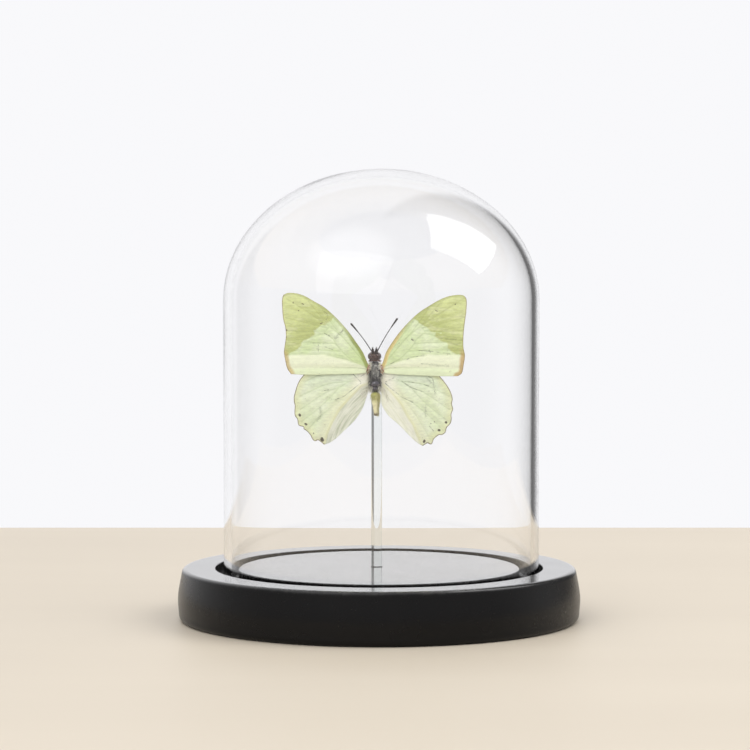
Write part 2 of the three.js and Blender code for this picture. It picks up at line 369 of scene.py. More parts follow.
glue = bmesh.new()
for point in egg(glue, glue_radii, glue_middle, fineness=5):
    swell = 1 + 0.05 * math.sin(2.1 * point.co.x + 3.3 * point.co.z) * math.cos(2.7 * point.co.y)
    point.co = glue_middle.lerp(point.co, swell)
    from_rod = point.co.xy - rod_axis
    if from_rod.length < rod_radius + glue_gap:
        point.co.xy = rod_axis + from_rod.normalized() * (rod_radius + glue_gap)
    on_thorax = Vector((point.co.x, point.co.y / thorax_depth_ratio))
    if on_thorax.length < thorax_radius + glue_gap:
        held = on_thorax.normalized() * (thorax_radius + glue_gap)
        point.co.xy = (held.x, held.y * thorax_depth_ratio)
bmesh.ops.smooth_vert(glue, verts=glue.verts, factor=0.3, use_axis_x=True, use_axis_y=True, use_axis_z=True)
finished("glue_lump", glue, [set_glue()], ["glue_dab"], body_place)

# ---- Thorax --------------------------------------------------------------------------------------
# The dried middle of the body: a dark horny barrel that carries wings and legs, silver-grey fur over
# its shoulders, a bare polished boss at the back, and pale fringes where the wings leave it.

thorax_profile = [(0, -5.2), (1.3, -4.9), (1.95, -3.8), (2.25, -2.1), (2.25, -0.6), (2.05, 1.4),
                  (1.7, 3.1), (1.1, 4.05), (0, 4.3)]
hinge_struts = [((1.6, -1.2, 2.9), (2.5, -1.62, 2.0), 0.22), ((1.7, -1.4, 1.9), (2.8, -1.66, 0.9), 0.3),
                ((1.9, -1.3, 0.8), (2.5, -1.5, 0.1), 0.24), ((1.9, -1.2, 2.2), (2.4, -1.72, 1.3), 0.34)]
chance = random.Random(11)

# Colour that wanders between two tones, with a fine grain for the gloss and the skin.
mottle, mottle_in, mottle_out = shader_group(
    "mottle", [("Dark", "Color", tone(20, 18, 18)), ("Light", "Color", tone(60, 55, 50)),
               ("Scale", "Float", 400.0)], [("Color", "Color"), ("Grain", "Float")])
patches = fade(mottle, cloud(mottle, mottle_in.outputs["Scale"], 4.0), 0.32, 0.68)
feed(mottle, mottle_out, {
    "Color": laid_over(mottle, mottle_in.outputs["Dark"], mottle_in.outputs["Light"], patches),
    "Grain": cloud(mottle, times(mottle, mottle_in.outputs["Scale"], 9.0))})


def mottled(tree, dark, light, scale):
    node = add(tree, "Group", node_tree=mottle)
    feed(tree, node, {"Dark": dark, "Light": light, "Scale": scale})
    return node.outputs["Color"], node.outputs["Grain"]


def horn(name, dark, light, scale, roughness, gloss=0.0):
    """Insect skin: horny, uneven in colour, with a grained gloss."""
    material, tree, surface = finish_called(name)
    colour, grain = mottled(tree, dark, light, scale)
    feed(tree, surface, {"Base Color": colour, "Roughness": spread(tree, grain, 0.25, roughness - 0.12),
                         "Normal": bumps(tree, grain, 0.35, 0.00005), "Coat Weight": gloss,
                         "Coat Roughness": 0.12})
    return material


def fur(name, dark, light, halo=0.25):
    """Dry hair, each one a little lighter or darker than the next, with a pale halo round the coat."""
    material, tree, surface = finish_called(name)
    colour, grain = mottled(tree, dark, light, 2600.0)
    feed(tree, surface, {"Base Color": colour, "Roughness": spread(tree, grain, 0.3, 0.5),
                         "Sheen Weight": halo, "Sheen Roughness": 0.4})
    return material


def wires(lines, material=0, roundness=2):
    """A mesh of round wires. Each line is a list of points with a radius each."""
    curve = bpy.data.curves.new("wires", "CURVE")
    curve.dimensions = "3D"
    curve.bevel_depth = 1
    curve.bevel_resolution = roundness
    curve.use_fill_caps = True
    for line in lines:
        spline = curve.splines.new("POLY")
        spline.points.add(len(line) - 1)
        for knot, (place, radius) in zip(spline.points, line):
            knot.co = (*place, 1)
            knot.radius = radius
    holder = bpy.data.objects.new("wires", curve)
    mesh = bpy.data.meshes.new_from_object(holder)
    bpy.data.objects.remove(holder)
    bpy.data.curves.remove(curve)
    shape = bmesh.new()
    shape.from_mesh(mesh)
    bmesh.ops.remove_doubles(shape, verts=shape.verts, dist=1e-4)
    bmesh.ops.recalc_face_normals(shape, faces=shape.faces)
    for face in shape.faces:
        face.material_index = material
    shape.to_mesh(mesh)
    shape.free()
    return mesh


def new_hair():
    """One bent, tapered hair, a unit long and a unit in radius, standing on the origin."""
    shape = bmesh.new()
    where = Matrix.Translation((0, 0, 0.5))
    bmesh.ops.create_cone(shape, cap_ends=True, segments=3, radius1=1, radius2=0.15, depth=1, matrix=where)
    risers = [e for e in shape.edges if abs(e.verts[0].co.z - e.verts[1].co.z) > 0.5]
    bmesh.ops.subdivide_edges(shape, edges=risers, cuts=1, use_grid_fill=True)
    hair = bpy.data.meshes.new("hair")
    shape.to_mesh(hair)
    shape.free()
    return hair


hair = new_hair()
hair_bend = 0.18


def plant(shape, root, direction, length, radius, material):
    """Plants one hair in a shape, bent a little to a side of its own."""
    lean = Matrix.Identity(4)
    lean[0][2] = chance.uniform(-hair_bend, hair_bend)
    size = Matrix.Diagonal((radius, radius, length, 1))
    turn = direction.to_track_quat("Z", "X").to_matrix().to_4x4()
    strand = hair.copy()
    strand.transform(Matrix.Translation(root) @ turn @ lean @ size)
    strand.polygons.foreach_set("material_index", [material] * len(strand.polygons))
    shape.from_mesh(strand)
    bpy.data.meshes.remove(strand)


def roots_on(faces, count):
    """Random places on faces, each with the face's normal, more of them on larger faces."""
    picked = chance.choices(faces, weights=[face.calc_area() for face in faces], k=count)
    places = []
    for face in picked:
        a, b, c = [v.co for v in chance.sample(list(face.verts), 3)]
        s, t = sorted((chance.random(), chance.random()))
        places.append((a * s + b * (t - s) + c * (1 - t), face.normal.copy()))
    return places


def faces_where(faces, holds):
    """The faces whose middle, as x, y and z, passes a test."""
    return [face for face in faces if holds(*face.calc_center_median())]


def cover(shape, places, along, length, radius, material, stand, scatter=0.25):
    """Hairs at the given places, laid along a direction and standing up a little."""
    for place, normal in places:
        stray = Vector([chance.gauss(0, scatter) for _ in range(3)])
        direction = (along + normal * stand + stray).normalized()
        plant(shape, place, direction, length * chance.uniform(0.6, 1.3), radius, material)


thorax = turned(thorax_profile, 48)
bmesh.ops.scale(thorax, vec=(1, thorax_depth_ratio, 1), verts=thorax.verts)
bmesh.ops.subdivide_edges(thorax, edges=thorax.edges, cuts=2, use_grid_fill=True, smooth=0.6)
# The seams between the back's plates, and the hollow round the boss.
for point in thorax.verts:
    seam = math.exp(-(((point.co.z - 0.7) / 0.25) ** 2)) + math.exp(-(((point.co.z + 1.6) / 0.3) ** 2))
    middle = 0.6 * math.exp(-((point.co.x / 0.2) ** 2)) if point.co.y < 0 and point.co.z > -1.4 else 0
    point.co.xy *= 1 - 0.05 * seam - 0.03 * middle
bare_skin, boss_horn, hinge_horn, silver_hair, black_hair, pale_hair = range(6)
skin_faces = list(thorax.faces)
egg(thorax, (1.4, 1.05, 1.35), (0.05, -1.7, -2.8), boss_horn)
egg(thorax, (0.9, 0.8, 0.7), (0.05, -1.55, -4.2), boss_horn)
for wing_side in (-1, 1):
    for height in (1.6, -1.6):  # the legs' first joints
        egg(thorax, (0.6, 0.9, 1.2), (1.9 * wing_side, 0.9, height), bare_skin)
    egg(thorax, (0.4, 0.4, 1.0), (1.72 * wing_side, -1.15, 2.1), hinge_horn)  # over the forewing's root
    struts = []
    for foot, tip, thick in hinge_struts:
        line = smooth_line([foot, ((foot[0] + tip[0]) / 2, foot[1] - 0.25, foot[2] + 0.15), tip], 5)
        struts.append([(Vector((wing_side * x, y, z)), thick * (1 - 0.6 * step / len(line)))
                       for step, (x, y, z) in enumerate(line)])
    thorax.from_mesh(wires(struts, hinge_horn))
thorax.normal_update()
boss_middle, boss_reach = (0.05, -1.75, -2.9), 1.35
shoulder_height, side_line = 0.2, 0.6
shoulders = faces_where(skin_faces, lambda x, y, z: z > shoulder_height)
back = faces_where(skin_faces, lambda x, y, z: z <= shoulder_height and y < side_line
                   and math.dist((x, y, z), boss_middle) > boss_reach)
belly = faces_where(skin_faces, lambda x, y, z: y >= side_line)
flanks = faces_where(skin_faces, lambda x, y, z: abs(x) > 1.55 and y < 1.0)
lowest = faces_where(skin_faces, lambda x, y, z: z < -3.2 and abs(x) > 0.8)
mantle = faces_where(shoulders, lambda x, y, z: abs(x) < 1.15)
tippets = faces_where(skin_faces, lambda x, y, z: abs(x) > 0.9 and 2.2 < z < 4.0 and y < 0.9)
backwards = Vector((0, 0, -1))
coats = [  # faces, number of hairs, which way they lie, length, radius, kind, how far they stand up
    (mantle, 720, backwards, 1.15, 0.026, silver_hair, 0.3),
    (shoulders, 900, backwards, 1.0, 0.035, black_hair, 0.35),
    (back, 620, backwards, 0.7, 0.03, black_hair, 0.3),
    (back, 130, backwards, 0.8, 0.026, silver_hair, 0.3),
    (belly, 900, backwards, 1.0, 0.035, pale_hair, 0.3),
    (flanks, 700, Vector((0, -0.3, -0.8)), 1.4, 0.024, pale_hair, 1.0),
    (lowest, 340, Vector((0, -0.1, -1)), 1.6, 0.022, pale_hair, 0.5),
]
for wing_side in (-1, 1):
    one_side = faces_where(tippets, lambda x, y, z: x * wing_side > 0)
    coats.append((one_side, 260, Vector((0.55 * wing_side, -0.2, -0.8)), 1.3, 0.026, pale_hair, 0.5))
for faces, count, along, length, radius, kind, stand in coats:
    cover(thorax, roots_on(faces, count), along, length, radius, kind, stand)
finished("furry_thorax", thorax, [
    horn("thorax_skin", tone(12, 11, 12), tone(32, 28, 28), 300, 0.35, 0.2),
    horn("polished_boss", tone(26, 21, 28), tone(64, 54, 66), 500, 0.2, 0.9),
    horn("wing_hinges", tone(122, 76, 56), tone(186, 142, 110), 1100, 0.4, 0.3),
    fur("silver_fur", tone(180, 178, 168), tone(248, 245, 234)),
    fur("black_fur", tone(18, 16, 15), tone(46, 41, 38), halo=0.0),
    fur("pale_fringe", tone(236, 230, 204), tone(254, 252, 240), halo=0.8),
], ["thorax"], body_place, silver_hair)

# ---- Head ----------------------------------------------------------------------------------------
# A short brown head between two large round eyes, furred on top, with the feeding tube coiled up
# below it. The two palps stand up before it, scaly and pointed.

head_middle = Vector((-0.2, -0.2, 5.85))
collar_radius, collar_height, collar_hairs = 1.35, 4.7, 420
coil_middle = head_middle + Vector((0, 1.35, 0.75))
coil_turns, coil_start, coil_end, coil_steps, tube_radius = 2.6, 0.66, 0.2, 69, 0.11
palp_radii = [(0, 0.2), (0.15, 0.3), (0.45, 0.32), (0.7, 0.24), (0.9, 0.12), (1, 0.04)]  # share, radius


def compound_eye():
    material, tree, surface = finish_called("compound_eye")
    place = add(tree, "TexCoord").outputs["Object"]
    lenses = add(tree, "TexVoronoi", {"Vector": place, "Scale": 9000.0})
    stain = laid_over(tree, tone(30, 12, 9), tone(74, 34, 24), cloud(tree, 600))
    feed(tree, surface, {"Base Color": stain, "Roughness": spread(tree, cloud(tree, 4000), 0.2, 0.2),
                         "Normal": bumps(tree, lenses.outputs["Distance"], 0.4, 0.00004),
                         "Coat Weight": 1.0, "Coat Roughness": 0.05})
    return material


head_skin, eye_lens, tube_skin, brown_hair, light_hair = range(5)
head = bmesh.new()
egg(head, (1.55, 1.5, 1.35), head_middle, head_skin, 5)
for wing_side in (-1, 1):
    egg(head, (1.0, 1.15, 1.15), head_middle + Vector((1.15 * wing_side, -0.1, 0.05)), eye_lens)
head.normal_update()
skin_faces = [face for face in head.faces if face.material_index == head_skin]
crown = faces_where(skin_faces, lambda x, y, z: y < 0.4)
chin = faces_where(skin_faces, lambda x, y, z: y >= 0.4)
collar = []
for _ in range(collar_hairs):
    turn = chance.uniform(0, 2 * math.pi)
    out = Vector((math.cos(turn), math.sin(turn), 0))
    collar.append((out * collar_radius + Vector((-0.1, 0, collar_height)), out))
over_crown, under_chin = Vector((0, -0.5, 0.2)), Vector((0, 0.3, 0.3))
cover(head, roots_on(crown, 620), over_crown, 0.6, 0.028, brown_hair, 0.8)
cover(head, roots_on(crown, 160), over_crown, 0.55, 0.028, light_hair, 0.8)
cover(head, roots_on(chin, 300), under_chin, 0.6, 0.028, light_hair, 0.8)
cover(head, collar, Vector((0, 0, -0.5)), 0.8, 0.03, brown_hair, 0.7)
coil = []
for step in range(coil_steps + 1):
    share = step / coil_steps
    turn = 2 * math.pi * coil_turns * share
    reach = coil_start + (coil_end - coil_start) * share
    spot = coil_middle + Vector((0, reach * math.sin(turn), reach * math.cos(turn)))
    coil.append((spot, tube_radius * (1 - 0.45 * share)))
head.from_mesh(wires([coil], tube_skin))
finished("furry_head", head, [
    horn("head_skin", tone(48, 30, 24), tone(84, 56, 44), 500, 0.5),
    compound_eye(),
    horn("feeding_tube", tone(70, 44, 28), tone(120, 82, 50), 700, 0.35),
    fur("brown_fur", tone(74, 44, 32), tone(148, 104, 80)),
    fur("pale_head_fur", tone(190, 172, 148), tone(244, 234, 214)),
], ["head"], body_place, brown_hair)

palp_skin = horn("palp_skin", tone(40, 28, 24), tone(72, 54, 46), 800, 0.5)
palp_fur = fur("palp_fur", tone(34, 26, 23), tone(86, 68, 58))
for side_name, wing_side in (("left", -1), ("right", 1)):
    palp = bmesh.new()
    foot = head_middle + Vector((0.5 * wing_side, -0.85, 0.75))
    tip = head_middle + Vector((0.62 * wing_side, -1.45, 2.75))
    palp.from_mesh(wires([[(foot.lerp(tip, share), radius) for share, radius in palp_radii]]))
    palp.normal_update()
    cover(palp, roots_on(list(palp.faces), 260), (tip - foot).normalized(), 0.5, 0.024, 1, 0.45, 0.12)
    finished(f"scaly_palp_{side_name}", palp, [palp_skin, palp_fur],
             [f"palp_{side_name}"], body_place, 1)

# ---- Abdomen -------------------------------------------------------------------------------------
# The hind part of the body, shrunk in drying to a thin tail of seven overlapping rings. It is olive
# where it leaves the thorax, cream below, downy all over, and ends in a dark open ring.

abdomen_top = Vector((0.1, -0.1, -5.3))
abdomen_length, abdomen_rings = 7.6, 7
abdomen_lean = math.radians(-2.5)
abdomen_outline = smooth_line([
    (0.9, 0.0), (1.42, -1.0), (1.3, -2.4), (1.02, -4.4), (0.86, -6.2), (0.72, -7.4)], 14)


def dried_abdomen():
    """Cream, olive at the top, painted shade along the right side, dark at the very end, and blotched."""
    material, tree, surface = finish_called("abdomen_skin")
    place = add(tree, "SeparateXYZ", {0: add(tree, "TexCoord").outputs["Object"]}).outputs
    top, right = (body_place.z + abdomen_top.z) * MM, (body_place.x + 0.5) * MM
    end = top - abdomen_length * MM
    height = spread(tree, cloud(tree, 700), 1.6 * MM, place[2])
    across = spread(tree, cloud(tree, 900), 0.6 * MM, place[0])
    colour = painted(tree, tone(250, 244, 198), [
        (tone(192, 192, 104), fade(tree, height, top - 3 * MM, top - 1 * MM), 1),
        # painted shade along the right side
        (tone(150, 140, 84), fade(tree, across, right, right + 0.8 * MM), 0.8),
        (tone(84, 62, 40), fade(tree, height, end + 2.1 * MM, end + 1.3 * MM), 1),
        (tone(186, 168, 108), fade(tree, cloud(tree, 1500, 4), 0.5, 0.72), 0.5)])
    feed(tree, surface, {"Base Color": colour, "Roughness": spread(tree, cloud(tree, 1200), 0.2, 0.5),
                         "Normal": bumps(tree, cloud(tree, 2600, 4), 0.5, 0.0001)})
    return material


ringed = [(0.0, 0.15)]
for radius, height in abdomen_outline:
    within = (-height / abdomen_length * abdomen_rings) % 1
    ringed.append((radius * (0.95 + 0.09 * within), height))
ringed += [(0.42, -abdomen_length + 0.02), (0.3, -abdomen_length + 0.35), (0.0, -abdomen_length + 0.5)]
abdomen = turned(ringed, 56)
for point in abdomen.verts:
    around = math.atan2(point.co.y, point.co.x)
    dents = 0.05 * math.sin(3.1 * point.co.z) * math.sin(2 * around)
    point.co.xy *= 1 + 0.07 * math.sin(1.7 * point.co.z + 2.0) + dents
lean = Matrix.Rotation(abdomen_lean, 3, "Y")
bmesh.ops.rotate(abdomen, cent=(0, 0, 0), matrix=lean, verts=abdomen.verts)
bmesh.ops.translate(abdomen, vec=abdomen_top, verts=abdomen.verts)
abdomen.normal_update()
cream_hair, olive_hair = 1, 2
skin_faces = list(abdomen.faces)
upper = faces_where(skin_faces, lambda x, y, z: z > abdomen_top.z - 2.6)
# Olive hairs on the right side are painted shade; those on the upper part are its real olive.
painted_shade_side = faces_where(skin_faces, lambda x, y, z: x > 0.55)
cover(abdomen, roots_on(skin_faces, 520), backwards, 0.5, 0.02, cream_hair, 0.25)
cover(abdomen, roots_on(upper, 330), backwards, 1.3, 0.026, olive_hair, 0.3)
cover(abdomen, roots_on(painted_shade_side, 260), backwards, 0.7, 0.024, olive_hair, 0.2)
finished("downy_abdomen", abdomen, [
    dried_abdomen(),
    fur("cream_down", tone(240, 232, 190), tone(254, 251, 228), halo=0.6),
    fur("olive_down", tone(158, 156, 88), tone(218, 214, 144)),
], ["abdomen"], body_place, cream_hair)

# ---- Feelers -------------------------------------------------------------------------------------
# Two hair-thin antennae of some forty rings each, dark with a pale frost of scales, that swell to a
# club at the tip. They are set in the head between the eyes.

feeler_rings, points_per_ring = 44, 4
feeler_radius, club_radius, club_length, rounded_end = 0.15, 0.36, 3.6, 0.4
feeler_bow = 0.35
feeler_ends = {"left": ((-0.75, -0.95, 6.9), (-7.65, -3.6, 16.4)),
               "right": ((0.4, -0.95, 6.9), (7.05, -3.6, 18.0))}


def feeler_skin():
    material, tree, surface = finish_called("feeler_skin")
    frost = fade(tree, cloud(tree, 3800), 0.5, 0.7)
    colour = painted(tree, tone(44, 38, 36), [(tone(122, 116, 108), frost, 0.6)])
    feed(tree, surface, {"Base Color": colour, "Roughness": spread(tree, frost, 0.25, 0.4),
                         "Normal": bumps(tree, cloud(tree, 9000, 2), 0.3, 0.00003)})
    return material


feeler_finish = feeler_skin()
for side_name, (start, tip) in feeler_ends.items():
    start, tip = Vector(start), Vector(tip)
    length = (tip - start).length
    inwards = Vector((math.copysign(1, -tip.x), 0, 0))
    line = []
    for step in range(feeler_rings * points_per_ring + 1):
        share = step / (feeler_rings * points_per_ring)
        left_over = length * (1 - share)
        club = max(0.0, 1 - left_over / club_length) ** 0.7
        cap = math.sqrt(max(0.0, 1 - max(0.0, 1 - left_over / rounded_end) ** 2))
        ring = 1 + 0.1 * math.sin(2 * math.pi * feeler_rings * share)
        thickness = feeler_radius * (1 - 0.2 * share) + (club_radius - feeler_radius) * club
        bow = inwards * feeler_bow * math.sin(math.pi * share)
        line.append((start.lerp(tip, share) + bow, thickness * ring * max(cap, 0.12)))
    feeler = bmesh.new()
    feeler.from_mesh(wires([line], 0, 3))
    egg(feeler, (0.27, 0.27, 0.24), start.lerp(tip, 0.015), 0, 3)
    finished(f"ringed_antenna_{side_name}", feeler, [feeler_finish],
             [f"antenna_{side_name}"], body_place)

# ---- Legs ----------------------------------------------------------------------------------------
# The four walking legs, dried as they folded: thigh out, shin back, and the thin jointed foot along
# it. They are thin horn under pale green scales, with short spines on the shin.

leg_paths = {
    "leg_mid": ((2.1, 1.7, 1.6), (3.0, 2.9, 0.4), (3.5, 3.6, -1.6), (3.3, 4.2, -0.2), (3.0, 4.5, 2.2)),
    "leg_hind": ((2.1, 1.7, -1.6), (3.0, 2.9, -3.2), (3.1, 3.6, -5.8), (3.0, 4.3, -4.4), (2.9, 4.6, -2.4)),
}
thigh, shin, ankle = 0.27, 0.15, 0.09
foot_start, foot_beads = 0.8, 60
leg_skin = horn("leg_scales", tone(128, 122, 78), tone(186, 184, 138), 900, 0.55)
spine_skin = fur("leg_spines", tone(50, 40, 30), tone(96, 80, 58))
for leg_name, path in leg_paths.items():
    for side_name, wing_side in (("left", -1), ("right", 1)):
        line = smooth_line([(wing_side * x, y, z) for x, y, z in path], 14)
        knee = len(line) // 2
        radii = []
        for step in range(len(line)):
            share = step / (len(line) - 1)
            if step <= knee:
                radii.append(thigh - (thigh - shin) * (step / knee) ** 2)
            else:
                bead = 1 + 0.15 * math.sin(share * foot_beads) * (share > foot_start)
                radii.append((shin - (shin - ankle) * (share - 0.5) * 2) * bead)
        leg = bmesh.new()
        leg.from_mesh(wires([list(zip(line, radii))]))
        leg.normal_update()
        lower = faces_where(leg.faces, lambda x, y, z: y > path[2][1])
        cover(leg, roots_on(lower, 60), (line[-1] - line[knee]).normalized(), 0.3, 0.022, 1, 0.8)
        finished(f"folded_{leg_name}_{side_name}", leg, [leg_skin, spine_skin],
                 [f"{leg_name}_{side_name}"], body_place, 1)

# ---- Wings: what all four share ------------------------------------------------------------------
# A wing is a clear skin a tenth of a millimetre thick, stretched over hollow veins and tiled on both
# faces with dusty scales. It is pressed flat in drying, so its cells stay slightly puffed.

wing_root, wing_lift = 2.5, math.tan(math.radians(3))  # the tips come forward, towards -Y
membrane = 0.1
cell_puff, puff_width = 0.12, 0.9
vein_root, vein_end, vein_reach = 0.15, 0.08, 28


def even_share(points):
    """A function from a share of the length, 0 to 1, to the place on a smooth curve."""
    line = np.array(smooth_line(points))
    run = np.concatenate(([0], np.cumsum(np.linalg.norm(np.diff(line, axis=0), axis=1))))
    return lambda share: np.column_stack([np.interp(share, run / run[-1], line[:, k]) for k in (0, 1)])


def to_line(points, line):
    """How far each point lies from a line, above zero on the line's left and below it on its right."""
    line = np.array(line, float)
    starts, runs = line[:-1], np.diff(line, axis=0)
    offset = points[:, None, :] - starts[None]
    share = np.clip((offset * runs).sum(2) / (runs**2).sum(1), 0, 1)
    gap = np.linalg.norm(offset - share[..., None] * runs, axis=2)
    nearest = gap.argmin(1)
    picked = np.arange(len(points))
    run, from_start = runs[nearest], offset[picked, nearest]
    return gap[picked, nearest] * np.sign(run[:, 0] * from_start[:, 1] - run[:, 1] * from_start[:, 0])


def to_any(points, lines):
    return np.min([np.abs(to_line(points, line)) for line in lines], axis=0)


def to_marks(points, marks):
    """Distance to the nearest mark's edge. A mark is its half width and the points it runs through."""
    gaps = []
    for half_width, line in marks:
        if len(line) == 1:  # a dot is a line too short to see
            line = [line[0], (line[0][0] + 0.01, line[0][1])]
        gaps.append(np.abs(to_line(points, line)) - half_width)
    return np.min(gaps, axis=0)


def kept_measures(outer_line, veins, lines, spots, smudges):
    """What every wing keeps at its points: how far its margin, veins and marks are, and the place."""
    vein_lines = [smooth_line(vein, 4) for vein in veins]
    return {
        "margin": lambda points: np.abs(to_line(points, outer_line)),
        "vein": lambda points: to_any(points, vein_lines),
        "line": lambda points: to_any(points, lines),
        "spot": lambda points: to_marks(points, spots),
        "smudge": lambda points: to_marks(points, smudges),
        "reach": lambda points: points[:, 0],
        "height": lambda points: points[:, 1],
    }


def wing_depth(points, depth, veins, folds):
    """Where the wing's middle surface lies along Y, at points given by reach and height."""
    puff = cell_puff * (1 - np.exp(-((to_any(points, veins) / puff_width) ** 2)))
    level = depth - (points[:, 0] - wing_root) * wing_lift - puff
    for height, width, line in folds:
        level = level + height * np.exp(-((to_line(points, line) / width) ** 2))
    return level


def vein_wires(wing_side, veins, depth, folds):
    """The wing's veins as wires in its middle surface, that taper towards its margin."""
    lines = []
    for vein in veins:
        path = np.array(smooth_line(vein, 6))
        level = wing_depth(path, depth, veins, folds) + membrane / 2
        lines.append([((wing_side * x, y, z), vein_root + (vein_end - vein_root) * min(1, x / vein_reach))
                      for (x, z), y in zip(path, level)])
    return wires(lines, 0, 1)


def stretched_wing(wing_side, edges, depth, veins, folds, layers, fineness):
    """A veined skin between root, front, outer and inner edge, that keeps the given measures."""
    wing = bmesh.new()
    kept = {name: wing.verts.layers.float.new(name) for name in layers}
    bmesh.ops.create_grid(wing, x_segments=fineness[0], y_segments=fineness[1], size=0.5)
    out, up = (np.array([vert.co.xy for vert in wing.verts]) + 0.5).T
    out, up = np.clip(out, 0, 1), np.clip(up, 0, 1)
    root, front, outer, inner = [even_share(edge) for edge in edges]
    o, u = out[:, None], up[:, None]
    ends = [curve(np.array([end])) for curve in (inner, front) for end in (0.0, 1.0)]
    points = ((1 - u) * inner(out) + u * front(out) + (1 - o) * root(up) + o * outer(up)
              - (1 - o) * (1 - u) * ends[0] - o * (1 - u) * ends[1] - (1 - o) * u * ends[2] - o * u * ends[3])
    level = wing_depth(points, depth, veins, folds)
    for step, vert in enumerate(wing.verts):
        vert.co = (wing_side * points[step, 0], level[step], points[step, 1])
    wing.normal_update()
    if sum(face.normal.y for face in wing.faces) > 0:
        bmesh.ops.reverse_faces(wing, faces=wing.faces)
    thickened = bmesh.ops.extrude_face_region(wing, geom=wing.faces[:], use_keep_orig=True)["geom"]
    under = [part for part in thickened if isinstance(part, bmesh.types.BMVert)]
    bmesh.ops.translate(wing, vec=(0, membrane, 0), verts=under)
    bmesh.ops.recalc_face_normals(wing, faces=wing.faces)
    wing.from_mesh(vein_wires(wing_side, veins, depth, folds))
    wing.normal_update()
    for face in wing.faces:
        face.material_index = 1 if face.normal.y > 0.3 else 0
    points = np.array([(wing_side * vert.co.x, vert.co.z) for vert in wing.verts])
    for name, measure in layers.items():
        for vert, value in zip(wing.verts, measure(points)):
            vert[kept[name]] = value
    return wing


# Rows of tiny scales: a fine streaky grain, lighter and darker, and its height.
scale_rows, rows_in, rows_out = shader_group(
    "scale_rows", [("Color", "Color", tone(222, 236, 195)), ("Contrast", "Float", 0.1)],
    [("Color", "Color"), ("Height", "Float")])
dusting = spread(scale_rows, cloud(scale_rows, 5200, 2), 0.3,
               times(scale_rows, cloud(scale_rows, 1500, 3, (0.45, 1, 1.2)), 0.7))
uneven = calc(scale_rows, "SUBTRACT", dusting, 0.5)
swing = times(scale_rows, uneven, rows_in.outputs["Contrast"])
lit = add(scale_rows, "HueSaturation", {"Color": rows_in.outputs["Color"],
                                        "Value": spread(scale_rows, swing, 4.0, 1.0)})
feed(scale_rows, rows_out, {"Color": lit.outputs[0], "Height": dusting})


def scaled(tree, surface, colour, contrast):
    """Gives a wing's colour its rows of scales, and a dry powdery surface."""
    rows = add(tree, "Group", node_tree=scale_rows)
    feed(tree, rows, {"Color": colour, "Contrast": contrast})
    wrinkles = bumps(tree, cloud(tree, 330, 4, (0.7, 1, 1.3)), 0.3, 0.0004)
    feed(tree, surface, {"Base Color": rows.outputs["Color"],
                         "Roughness": spread(tree, rows.outputs["Height"], 0.25, 0.55),
                         "Normal": bumps(tree, rows.outputs["Height"], 0.3, 0.00006, wrinkles),
                         "Sheen Weight": 0.08, "Specular IOR Level": 0.3})


def value_of(tree, layer):
    return add(tree, "Attribute", attribute_name=layer).outputs["Fac"]


def ragged(tree, layer, coarse_swing, fine_swing=0.3):
    """A distance kept on the wing, made uneven as the edge of a patch of scales is."""
    drift = spread(tree, calc(tree, "SUBTRACT", cloud(tree, 420, 3), 0.5), coarse_swing,
                 value_of(tree, layer))
    return spread(tree, calc(tree, "SUBTRACT", cloud(tree, 3200, 2), 0.5), fine_swing, drift)


def dark_specks(tree, colour, rim_tone, rim_strength):
    """Scattered brown grains, dark lines on some veins, spots, smudges, and the line along the edge."""
    near_edge = fade(tree, value_of(tree, "margin"), 5.0, 0.5)
    flecks = times(tree, fade(tree, cloud(tree, 1500, 2), 0.68, 0.76), spread(tree, near_edge, 0.3, 0.3))
    worn = spread(tree, fade(tree, cloud(tree, 1100, 2), 0.38, 0.58), 0.5, 0.12)
    return painted(tree, colour, [
        (tone(132, 122, 74), flecks, 1),
        (tone(96, 102, 66), fade(tree, ragged(tree, "line", 0.1, 0.16), 0.2, 0.04), worn),
        (tone(58, 44, 30), fade(tree, ragged(tree, "spot", 0.1, 0.16), 0.12, -0.08), 0.92),
        (tone(112, 122, 92), fade(tree, ragged(tree, "smudge", 0.9, 1.6), 0.4, -0.6), 0.45),
        (rim_tone, fade(tree, ragged(tree, "rim", 0.12, 0.14), 0.34, 0.1), rim_strength)])


def underside(name, middle_tone, margin_tone):
    """The resting side of a wing, duller and browner, with a dark line before a paler border."""
    material, tree, surface = finish_called(name)
    band = calc(tree, "ABSOLUTE", calc(tree, "SUBTRACT", ragged(tree, "margin", 0.6), 8.0))
    scaled(tree, surface, painted(tree, middle_tone, [
        (margin_tone, fade(tree, ragged(tree, "margin", 2.0), 9.0, 1.0), 1),
        (tone(168, 160, 118), fade(tree, cloud(tree, 260, 4), 0.45, 0.7), 0.5),
        (tone(146, 128, 84), fade(tree, band, 0.5, 0.1), 0.45),
        (tone(112, 98, 62), fade(tree, cloud(tree, 520, 2), 0.64, 0.72), 0.5),
        (tone(112, 86, 54), fade(tree, ragged(tree, "rim", 0.12, 0.14), 0.4, 0.12), 1)]), 0.16)
    return material


# ---- Forewings -----------------------------------------------------------------------------------
# The front pair: mint green with a ragged olive tip, a cream strip along the hind edge and a tan
# corner. They lie over the front edges of the hindwings and are hinged on the thorax, held by drying.

